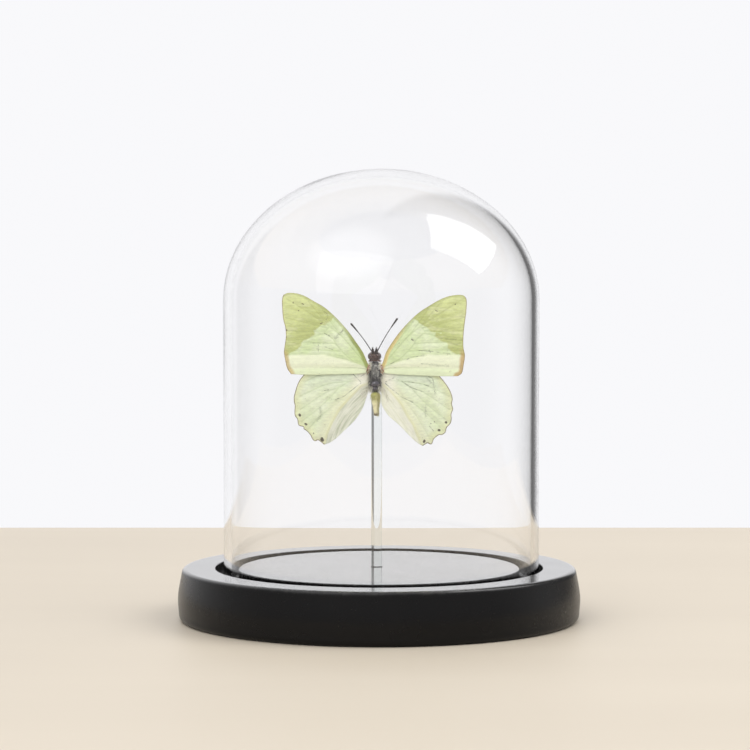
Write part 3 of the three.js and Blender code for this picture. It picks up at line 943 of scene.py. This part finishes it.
forewing_depth = -1.3
forewing_root = [(1.9, 0.9), (1.95, 1.9), (2.1, 2.9)]
forewing_edges = {
    "left": [
        forewing_root,
        [(2.1, 2.9), (2.9, 4.7), (4.0, 7.25), (6.1, 10.4), (8.6, 13.9), (11.2, 16.9), (13.7, 19.4),
         (16.2, 21.5), (19.15, 23.2), (22.1, 24.9), (24.6, 25.7), (27.2, 25.85), (28.6, 25.3)],
        [(26.3, 0.4), (27.5, 2.2), (28.1, 4.7), (28.5, 7.3), (28.2, 9.8), (27.9, 12.3), (28.1, 15.1),
         (28.8, 18.1), (29.1, 22.7), (28.95, 24.5), (28.6, 25.3)],
        [(1.9, 0.9), (5.0, 0.5), (12.0, 0.3), (20.0, 0.1), (26.3, 0.4)],
    ],
    "right": [
        forewing_root,
        [(2.1, 2.9), (2.8, 4.7), (3.6, 7.25), (5.6, 10.5), (8.1, 13.9), (11.2, 17.3), (14.1, 19.9),
         (17.5, 22.1), (20.85, 24.0), (23.4, 24.9), (25.9, 25.25), (27.6, 25.1), (28.3, 24.5)],
        [(25.9, -0.25), (27.2, 0.8), (27.8, 3.8), (28.1, 6.3), (27.65, 8.8), (27.65, 12.3), (28.0, 16.1),
         (28.5, 19.9), (28.65, 23.2), (28.3, 24.5)],
        [(1.9, 0.9), (5.0, 0.4), (12.0, 0.0), (20.0, -0.3), (25.9, -0.25)],
    ],
}
forewing_tips = {  # where the olive tip begins, from the front edge to the outer one
    "left": [(12.2, 19.4), (12.8, 18.6), (14.0, 16.6), (15.5, 15.9), (16.7, 15.7), (18.0, 14.7),
             (19.1, 14.0), (18.8, 12.7), (20.9, 11.5), (22.2, 11.1), (23.0, 10.0), (22.8, 9.4),
             (24.1, 8.3), (26.0, 7.1), (29.5, 5.2)],
    "right": [(10.9, 19.6), (11.4, 18.9), (12.3, 17.8), (14.0, 16.1), (15.2, 15.5), (16.7, 14.7),
              (17.8, 13.8), (19.0, 13.6), (18.6, 12.3), (19.9, 11.5), (21.1, 10.4), (22.6, 10.0),
              (22.6, 8.5), (23.7, 7.5), (25.6, 6.6), (29.5, 5.6)],
}
forewing_strip = [(2.0, 2.4), (6.2, 4.1), (9.1, 5.1), (13.1, 6.0), (16.3, 6.8), (18.8, 6.7),
                  (26.0, 6.7), (27.8, 6.2)]
forewing_fold = [(2.2, 1.7), (4.5, 2.3), (12.0, 2.4), (19.7, 2.4), (26.4, 2.1)]
forewing_veins = [
    forewing_strip, forewing_fold,
    [(2.1, 2.8), (4.7, 7.3), (8.9, 13.1), (12.6, 17.7)],
    [(2.1, 2.7), (5.6, 6.8), (9.9, 11.8), (14.2, 15.4), (19.0, 18.6), (24.0, 21.8), (27.8, 24.2)],
    [(9.9, 11.8), (12.9, 15.4), (16.6, 20.9)],
    [(14.2, 15.4), (17.4, 19.2), (21.0, 23.4)],
    [(6.2, 4.1), (8.7, 6.0), (10.4, 7.7), (12.3, 10.0), (13.0, 11.3), (14.2, 12.3), (15.9, 13.2),
     (21.5, 11.6), (27.2, 11.0)],
    [(14.2, 15.4), (15.2, 14.3), (15.9, 13.2)],
    [(14.8, 14.9), (21.0, 16.4), (28.1, 18.2)],
    [(15.4, 14.0), (21.0, 13.9), (27.5, 14.0)],
    [(12.3, 10.0), (14.6, 10.2), (22.2, 10.4), (27.3, 9.0)],
    [(10.4, 7.7), (15.7, 7.9), (22.4, 8.0), (27.7, 7.6)],
]
forewing_folds = [(0.12, 0.8, forewing_fold), (-0.05, 1.3, forewing_strip)]
forewing_spots = {
    "left": [(0.24, [(25.6, 22.8)]), (0.18, [(23.9, 20.3)]), (0.2, [(27.7, 14.2)]), (0.18, [(27.8, 12.0)]),
             (0.12, [(16.5, 16.5), (17.1, 16.2)]), (0.12, [(22.9, 22.5), (22.4, 22.3)])],
    "right": [(0.2, [(25.1, 22.3)]), (0.15, [(11.4, 11.3), (11.9, 11.0)]), (0.15, [(7.5, 10.1)]),
              (0.12, [(18.9, 20.4), (19.6, 20.1)])],
}
forewing_lines = {
    "left": [[(16.3, 20.3), (15.0, 19.3), (14.8, 18.4), (15.4, 17.4)], [(12.5, 11.5), (11.5, 12.0)],
             [(11.0, 13.2), (10.0, 14.2)], [(17.8, 9.6), (17.8, 7.5)], [(17.3, 9.2), (18.3, 9.0)],
             [(18.4, 8.3), (17.3, 8.1)], [(15.9, 9.0), (13.4, 8.1)], [(15.9, 13.2), (14.2, 12.3)]],
    "right": [[(19.5, 11.7), (23.0, 11.4), (27.3, 11.1)], [(13.4, 7.8), (17.6, 7.5), (20.5, 7.2)],
              [(21.4, 7.0), (24.3, 6.6)], [(16.9, 7.9), (17.3, 7.2)], [(10.0, 5.0), (12.0, 5.8), (16.3, 6.2)],
              [(14.5, 3.6), (18.0, 3.5)], [(4.7, 3.5), (7.8, 5.1)]],
}
forewing_smudges = {"left": [(0.25, [(12.6, 11.6), (10.2, 14.0)]), (0.1, [(21.0, 10.0), (15.0, 9.9)])],
                    "right": [(0.25, [(11.4, 11.6), (12.2, 10.8)]), (0.2, [(23.0, 2.9), (17.0, 3.3)])]}


def forewing_upperside(side_name, costa_tone, costa_width, corner_tone):
    """Mint, cream below the strip's vein, painted crease shade, olive at the tip, tinted front edge and hind
    corner.
    """
    material, tree, surface = finish_called(f"forewing_scales_{side_name}")
    reach, fold = value_of(tree, "reach"), value_of(tree, "fold")
    on_vein = fade(tree, value_of(tree, "vein"), 0.4, 0.0)
    mint = painted(tree, tone(220, 236, 184), [
        (tone(234, 245, 208), fade(tree, cloud(tree, 150, 4), 0.35, 0.65), 1),
        (tone(186, 204, 146), on_vein, 0.4),
        (tone(204, 222, 150), fade(tree, reach, 12.0, 3.0), 0.5)])
    cream = laid_over(tree, tone(251, 255, 226), tone(245, 253, 217), cloud(tree, 260, 3, (0.3, 1, 2.5)))
    tip = ragged(tree, "tip", 1.5, 0.5)
    olive = painted(tree, tone(196, 206, 130), [
        (tone(222, 230, 162), fade(tree, tip, 1.5, 10.0), 1),
        (tone(188, 196, 116), fade(tree, cloud(tree, 1100, 4, (0.22, 1, 1.5)), 0.45, 0.68), 0.5),
        (tone(232, 236, 188), fade(tree, cloud(tree, 480, 4, (0.35, 1, 1.2)), 0.52, 0.7), 0.5),
        (tone(166, 172, 104), on_vein, 0.25)])
    in_strip = fade(tree, ragged(tree, "strip", 0.6), -0.4, 0.9)
    # Painted shade along the fold's crease, strongest towards the root.
    crease_painted_shade = fade(tree, calc(tree, "ABSOLUTE", fold), 0.4, 0.0)
    corner = times(tree, fade(tree, value_of(tree, "height"), 9.5, 5.5),
                   fade(tree, ragged(tree, "margin", 0.9), 1.7, 0.7))
    front = fade(tree, ragged(tree, "costa", 0.3), costa_width, costa_width * 0.4)
    colour = painted(tree, mint, [
        (cream, in_strip, 1),
        (tone(226, 238, 194), fade(tree, fold, 0.05, 0.5), 0.75),
        (tone(184, 196, 146), crease_painted_shade, spread(tree, fade(tree, reach, 26.0, 4.0), 0.45, 0.1)),
        (olive, fade(tree, tip, -0.25, 0.4), 0.95),
        (corner_tone, corner, 0.8),
        (costa_tone, front, fade(tree, reach, 10.5, 6.0)),
        (tone(178, 186, 120), fade(tree, ragged(tree, "costa", 0.2), 0.9, 0.4), 0.5)])
    contrast = spread(tree, in_strip, -0.08, 0.17)
    scaled(tree, surface, dark_specks(tree, colour, tone(140, 110, 66), 0.65), contrast)
    return material


forewing_underside = underside("forewing_underside", tone(206, 214, 172), tone(186, 182, 132))
forewing_tints = {"left": (tone(150, 166, 74), 1.4, tone(206, 182, 118)),
                  "right": (tone(246, 214, 146), 1.3, tone(196, 156, 84))}
for side_name, wing_side in (("left", -1), ("right", 1)):
    edges = forewing_edges[side_name]
    outer_line, front_line = smooth_line(edges[2], 4), smooth_line(edges[1], 4)
    tip_line = forewing_tips[side_name]
    layers = kept_measures(outer_line, forewing_veins, forewing_lines[side_name],
                           forewing_spots[side_name], forewing_smudges[side_name])
    layers.update({
        "tip": lambda points: to_line(points, tip_line),
        "strip": lambda points: -to_line(points, forewing_strip),
        "fold": lambda points: -to_line(points, forewing_fold),
        "costa": lambda points: np.abs(to_line(points, front_line)),
        "rim": lambda points: np.minimum(to_any(points, [outer_line]), to_any(points, [front_line]) + 0.16),
    })
    veins = [*forewing_veins, [(x - 0.05, z - 0.1) for x, z in edges[1]]]
    wing = stretched_wing(wing_side, edges, forewing_depth, veins, forewing_folds, layers, (170, 120))
    finished(f"scaled_forewing_{side_name}", wing,
             [forewing_upperside(side_name, *forewing_tints[side_name]), forewing_underside],
             [f"forewing_{side_name}"], body_place)

# ---- Hindwings -----------------------------------------------------------------------------------
# The rear pair: paler, with a scalloped brown-lined margin, three small dark eye spots each, and a
# silky hairless fold on the inner side of a cream ridge. They hinge on the thorax below the forewings.

hindwing_depth = -0.7
hindwing_root = [(1.9, -3.4), (1.95, -1.0), (2.0, 1.3)]
hindwing_edges = {
    "left": [
        hindwing_root,
        [(2.0, 1.3), (8.0, 2.6), (14.0, 2.8), (19.0, 2.0), (22.0, 0.7)],
        [(16.0, -21.9), (17.9, -20.5), (18.8, -20.8), (19.6, -20.3), (20.4, -18.8), (21.5, -17.55),
         (22.4, -17.0), (22.5, -16.3), (23.6, -16.0), (24.15, -15.4), (24.4, -13.9), (25.1, -12.8),
         (25.25, -11.35), (25.15, -9.6), (25.45, -8.0), (25.25, -5.9), (24.0, -2.15), (22.35, 0.2),
         (22.0, 0.7)],
        [(1.9, -3.4), (2.5, -6.3), (4.0, -10.6), (6.1, -13.9), (9.5, -17.3), (13.3, -20.7), (16.0, -21.9)],
    ],
    "right": [
        hindwing_root,
        [(2.0, 1.3), (8.0, 2.6), (14.0, 2.6), (18.0, 1.3), (20.0, 0.0)],
        [(15.0, -22.3), (16.6, -21.4), (17.2, -21.8), (17.9, -21.6), (18.5, -20.1), (20.0, -18.85),
         (21.0, -18.8), (22.1, -18.0), (22.5, -16.5), (23.6, -15.3), (24.0, -13.9), (23.95, -12.2),
         (24.45, -10.6), (24.1, -9.0), (24.3, -7.25), (23.6, -5.0), (22.1, -2.5), (20.0, 0.0)],
        [(1.9, -3.4), (1.95, -6.5), (2.1, -9.3), (4.1, -12.7), (7.4, -15.6), (10.3, -18.6), (13.2, -21.3),
         (15.0, -22.3)],
    ],
}
hindwing_ridges = {
    "left": [(2.2, -2.6), (4.7, -3.5), (8.3, -7.3), (11.3, -10.7), (13.7, -14.9), (15.3, -18.6),
             (16.0, -21.6)],
    "right": [(2.2, -2.8), (5.0, -5.0), (8.3, -9.1), (10.2, -12.7), (12.1, -15.6), (13.2, -18.4),
              (14.8, -22.0)],
}
hindwing_vein_tree = [
    [(2.2, 0.4), (9.0, 1.2), (16.0, 0.6), (21.2, -1.6)],
    [(2.2, -0.9), (5.8, -1.7), (8.3, -1.9), (13.6, -2.5), (16.8, -3.4), (23.6, -6.6)],
    [(8.3, -1.9), (11.3, -3.9), (15.3, -5.3), (23.5, -10.8)],
    [(11.3, -3.9), (16.0, -8.8), (23.3, -14.8)],
    [(2.2, -1.8), (3.8, -2.6), (5.4, -4.5), (8.5, -7.0), (11.9, -8.6), (17.2, -13.0), (21.6, -17.6)],
    [(8.5, -7.0), (12.6, -12.0), (17.6, -20.6)],
    [(2.2, -3.3), (4.2, -8.0), (7.8, -13.4), (12.0, -18.6)],
]
hindwing_spots = {
    "left": [(0.34, [(23.7, -12.4), (23.6, -12.7)]), (0.3, [(21.9, -15.3), (21.6, -15.5)]),
             (0.5, [(16.85, -20.0), (16.55, -20.5)]), (0.12, [(19.4, -18.2), (19.3, -18.5)])],
    "right": [(0.34, [(22.2, -14.8), (22.3, -14.9)]), (0.34, [(20.0, -17.3), (20.2, -17.3)]),
              (0.36, [(15.5, -20.7), (15.4, -21.0)]), (0.14, [(17.5, -15.2)]), (0.14, [(18.6, -14.7)])],
}
hindwing_lines = {
    "left": [[(4.5, -2.5), (8.3, -5.5), (9.7, -6.6), (12.7, -7.8)], [(6.9, 0.3), (5.9, -0.7), (4.6, -2.1)],
             [(3.4, 0.2), (4.6, -0.4)], [(14.6, -4.6), (16.0, -4.9)]],
    "right": [[(3.1, -2.6), (5.4, -4.5), (8.5, -7.0), (11.9, -8.6)],
              [(8.3, -1.9), (13.6, -2.5), (16.8, -3.4)],
              [(8.3, -1.9), (11.3, -3.9), (15.3, -5.3)], [(3.3, -2.1), (5.9, -0.9)],
              [(16.8, -0.5), (17.9, -0.9), (18.4, -2.2)], [(18.6, -4.9), (18.9, -5.5)],
              [(15.9, -12.7), (16.2, -13.2)], [(17.0, -16.0), (18.4, -17.6)]],
}
hindwing_smudges = {"left": [(0.35, [(17.3, -10.1), (16.9, -12.5), (18.1, -14.3)]),
                             (0.1, [(12.0, -8.0), (15.0, -7.0)])],
                    "right": [(0.3, [(18.2, -2.6), (18.9, -5.5)]), (0.25, [(15.9, -9.5), (15.9, -12.9)]),
                              (0.2, [(16.3, -1.0), (17.6, -2.4)])]}


def root_on_wing(wing_side, reach, height, veins, folds):
    """A place for a hair on a hindwing's upper face, and the way that face looks."""
    level = wing_depth(np.array([[reach, height]]), hindwing_depth, veins, folds)[0] - membrane
    return Vector((wing_side * reach, level, height)), Vector((0, -1, 0))


def hindwing_upperside(side_name, painted_shade_amount, silk_shadow, silk_light):
    """Pale mint, painted cool shade near the forewing, creamier towards ridge and margin, a painted crest
    highlight, and silk past the ridge.
    """
    material, tree, surface = finish_called(f"hindwing_scales_{side_name}")
    ridge, height = value_of(tree, "silk"), value_of(tree, "height")
    strands = add(tree, "CombineXYZ", {0: ridge, 1: times(tree, height, 0.1)}).outputs[0]
    combing = add(tree, "TexNoise", {"Vector": strands, "Scale": 1.6, "Detail": 4.0}).outputs["Fac"]
    silk = laid_over(tree, silk_shadow, silk_light, fade(tree, combing, 0.36, 0.6))
    colour = painted(tree, tone(230, 241, 202), [
        (tone(240, 248, 218), fade(tree, cloud(tree, 150, 4), 0.35, 0.65), 1),
        # a cool painted shade where the forewing lies over it
        (tone(226, 241, 219), fade(tree, height, -7.0, 0.5), painted_shade_amount),
        (tone(190, 206, 160), fade(tree, value_of(tree, "vein"), 0.4, 0.0), 0.35),
        (tone(232, 234, 182), fade(tree, ragged(tree, "margin", 1.5), 3.0, 0.4), 0.6),
        (tone(238, 240, 206), fade(tree, ragged(tree, "silk", 1.0), -4.2, -0.6), 0.8),
        (tone(255, 254, 240), fade(tree, value_of(tree, "reach"), 8.5, 3.5), 0.9),
        (silk, fade(tree, ridge, -0.1, 0.8), 1),
        # a painted highlight along the ridge's crest
        (tone(240, 240, 196), fade(tree, calc(tree, "ABSOLUTE", ridge), 0.7, 0.1), 0.6)])
    contrast = spread(tree, fade(tree, ridge, -1.5, 0.3), -0.1, 0.16)
    scaled(tree, surface, dark_specks(tree, colour, tone(112, 84, 46), 0.85), contrast)
    return material


hindwing_underside = underside("hindwing_underside", tone(204, 214, 178), tone(190, 188, 146))
# Per side: how strong the cool painted shade near the forewing is, then the silk's shadow and light tones.
hindwing_tints = {"left": (0.45, tone(208, 214, 188), tone(242, 244, 226)),
                  "right": (0.55, tone(242, 244, 220), tone(253, 254, 236))}
white_wool, brown_wool = 2, 3
tuft_hairs, trailing_places, trailing_white, trailing_brown = 60, 420, 90, 20  # most places stay bare
woolly_tuft = fur("woolly_tuft", tone(246, 243, 230), tone(255, 254, 250), halo=0.8)
brown_tuft = fur("brown_tuft", tone(96, 84, 62), tone(150, 134, 100))
for side_name, wing_side in (("left", -1), ("right", 1)):
    edges = hindwing_edges[side_name]
    outer_line, ridge_line = smooth_line(edges[2], 4), hindwing_ridges[side_name]
    veins = [*hindwing_vein_tree, ridge_line]
    folds = [(-0.22, 0.9, ridge_line), (0.25, 2.2, edges[3])]
    layers = kept_measures(outer_line, veins, hindwing_lines[side_name],
                           hindwing_spots[side_name], hindwing_smudges[side_name])
    layers["silk"] = lambda points: -to_line(points, ridge_line)
    layers["rim"] = layers["margin"]
    wing = stretched_wing(wing_side, edges, hindwing_depth, veins, folds, layers, (150, 130))
    tufts = [root_on_wing(wing_side, chance.uniform(2.0, 4.6), chance.uniform(-3.8, 0.4), veins, folds)
             for _ in range(tuft_hairs)]
    cover(wing, tufts, Vector((wing_side * 0.8, 0, -0.5)), 1.5, 0.018, white_wool, 0.25, 0.35)
    trailing = []
    for _ in range(trailing_places):
        reach = chance.uniform(2.0, 4.2)
        height = -3.6 - chance.uniform(0, 5.0) * (reach - 1.2) / 3
        trailing.append(root_on_wing(wing_side, reach, height, veins, folds))
    white_ones, brown_ones = trailing[:trailing_white], trailing[-trailing_brown:]
    cover(wing, white_ones, Vector((wing_side * 0.25, 0, -1)), 2.2, 0.018, white_wool, 0.1, 0.2)
    cover(wing, brown_ones, Vector((wing_side * 0.3, 0, -1)), 1.8, 0.022, brown_wool, 0.2, 0.45)
    upperside = hindwing_upperside(side_name, *hindwing_tints[side_name])
    finished(f"scaled_hindwing_{side_name}", wing,
             [upperside, hindwing_underside, woolly_tuft, brown_tuft],
             [f"hindwing_{side_name}"], body_place, white_wool)
bpy.data.meshes.remove(hair)

# ---- Dome ----------------------------------------------------------------------------------------
# A bell of clear glass, blown in a mould and cut below, its rim melted round. It only stands in the
# groove, so it can be lifted off, and its wall has the slow waves of blown glass.

dome_x = 0.7
dome_radius, dome_wall = 50.0, 2.3
crown_start, crown_height = base_height + 84.8, 41.5
dome_rim = groove_floor + 0.1


def arc(centre, radii, start, end, steps):
    """Points on an elliptical arc between two angles in degrees."""
    turns = [math.radians(start + (end - start) * step / steps) for step in range(steps + 1)]
    return [(centre[0] + radii[0] * math.cos(turn), centre[1] + radii[1] * math.sin(turn))
            for turn in turns]


def blown_glass():
    material, tree, surface = finish_called("clear_blown_glass")
    waves = cloud(tree, 28, 2, (1, 1, 0.35))
    smear = times(tree, fade(tree, cloud(tree, 60, 5), 0.62, 0.8), 0.008)
    feed(tree, surface, {"Base Color": (1, 1, 1, 1), "Transmission Weight": 1.0, "IOR": 1.48,
                         "Roughness": smear, "Normal": bumps(tree, waves, 0.05, 0.002)})
    lets_light_through(tree, surface, tone(252, 252, 252))
    return material


half_wall, inner_radius = dome_wall / 2, dome_radius - dome_wall
straight_start, straight_end = dome_rim + half_wall + 0.15, crown_start - 0.2
dome = turned([
    *arc((0, crown_start), (dome_radius, crown_height), 90, 0, 64),
    (dome_radius, straight_end), (dome_radius, straight_start),
    *arc((dome_radius - half_wall, dome_rim + half_wall), (half_wall, half_wall), 0, -180, 12),
    (inner_radius, straight_start), (inner_radius, straight_end),
    *arc((0, crown_start), (inner_radius, crown_height - dome_wall), 0, 90, 64)])
finished("blown_dome", dome, [blown_glass()], ["glass_dome"], (dome_x, 0, 0))

# ---- Table, light and camera ---------------------------------------------------------------------
# A plain pale table top whose far edge lies behind the piece. The room is bright, with a soft glow at
# the front left and a dark card at the right that draws the glass's edges. A window at the upper
# right and a soft fill from the front light the piece.

table_half_width, table_near, table_far, table_thickness = 0.62, -0.6, 0.27, 0.02


def pale_table():
    material, tree, surface = finish_called("pale_table")
    figure = cloud(tree, 14, 5, (0.15, 1, 1))
    colour = laid_over(tree, tone(204, 192, 173), tone(216, 205, 187), figure)
    feed(tree, surface, {"Base Color": colour, "Roughness": spread(tree, figure, 0.1, 0.45),
                         "Normal": bumps(tree, cloud(tree, 500, 3, (0.2, 1, 1)), 0.1, 0.0001)})
    return material


top = bmesh.new()
bmesh.ops.create_cube(top, size=1)
size = (2 * table_half_width, table_far - table_near, table_thickness)
bmesh.ops.scale(top, vec=size, verts=top.verts)
bmesh.ops.translate(top, vec=(0, (table_far + table_near) / 2, -table_thickness / 2), verts=top.verts)
bmesh.ops.bevel(top, geom=top.edges[:], offset=0.002, offset_type="OFFSET", segments=3, profile=0.5,
                affect="EDGES", material=-1)
table_mesh = bpy.data.meshes.new("table_top")
top.to_mesh(table_mesh)
top.free()
table_mesh.materials.append(pale_table())
table = bpy.data.objects.new("table_top", table_mesh)
bpy.context.scene.collection.objects.link(table)

room = bpy.data.worlds.new("bright_room")
bpy.context.scene.world = room
room.use_nodes = True
sky = room.node_tree
view = add(sky, "TexCoord").outputs["Generated"]
aside, ahead, above = add(sky, "SeparateXYZ", {0: view}).outputs
front = laid_over(sky, (0.58, 0.58, 0.59, 1), (0.84, 0.84, 0.86, 1), fade(sky, above, -0.1, 0.6))
bearing = calc(sky, "ARCTAN2", aside, ahead)
card = times(sky, fade(sky, bearing, math.radians(17), math.radians(26)),
             fade(sky, bearing, math.radians(84), math.radians(40)))
glow_middle = (-0.34, -0.54, 0.77)
towards_glow = add(sky, "VectorMath", {0: view, 1: glow_middle}, operation="DOT_PRODUCT").outputs["Value"]
glow = fade(sky, towards_glow, math.cos(math.radians(33)), math.cos(math.radians(10)))
wall = painted(sky, front, [((0.945, 0.945, 0.965, 1), fade(sky, ahead, -0.3, 0.6), 1),
                            ((0.05, 0.048, 0.045, 1), card, 0.88),
                            ((1.8, 1.8, 1.82, 1), glow, 1)])
feed(sky, sky.nodes["Background"], {"Color": wall, "Strength": 1.0})


def soft_light(name, middle, aim, width, height, roll, brightness, mirrored=True):
    """A flat light as bright as a sky of that radiance, perhaps not seen in gloss."""
    lamp = bpy.data.lights.new(name, "AREA")
    lamp.shape = "RECTANGLE"
    lamp.size, lamp.size_y = width, height
    lamp.energy = brightness * math.pi * width * height
    holder = bpy.data.objects.new(name, lamp)
    facing = (Vector(middle) - Vector(aim)).to_track_quat("Z", "Y")
    turn = facing @ Matrix.Rotation(roll, 4, "Z").to_quaternion()
    holder.matrix_world = Matrix.Translation(middle) @ turn.to_matrix().to_4x4()
    holder.visible_glossy = mirrored
    bpy.context.scene.collection.objects.link(holder)


crown_middle = Vector((0.02, -0.03, 0.1))
window_middle = crown_middle + 1.4 * Vector((0.69, 0.03, 0.72))
soft_light("window", window_middle, crown_middle, 0.9, 1.0, math.radians(20), 3.0)
soft_light("front_fill", (-0.45, -1.0, 0.75), (0, 0, 0.075), 1.2, 1.0, 0, 1.12, False)

camera_data = bpy.data.cameras.new("camera")
camera_data.sensor_width = 36
camera_data.lens = 136.5
camera = bpy.data.objects.new("camera", camera_data)
camera.location = (-0.00129, -0.9, 0.12613)
camera.rotation_euler = (math.radians(86.91), 0, 0)
bpy.context.scene.collection.objects.link(camera)
bpy.context.scene.camera = camera
bpy.context.scene.view_settings.view_transform = "Standard"
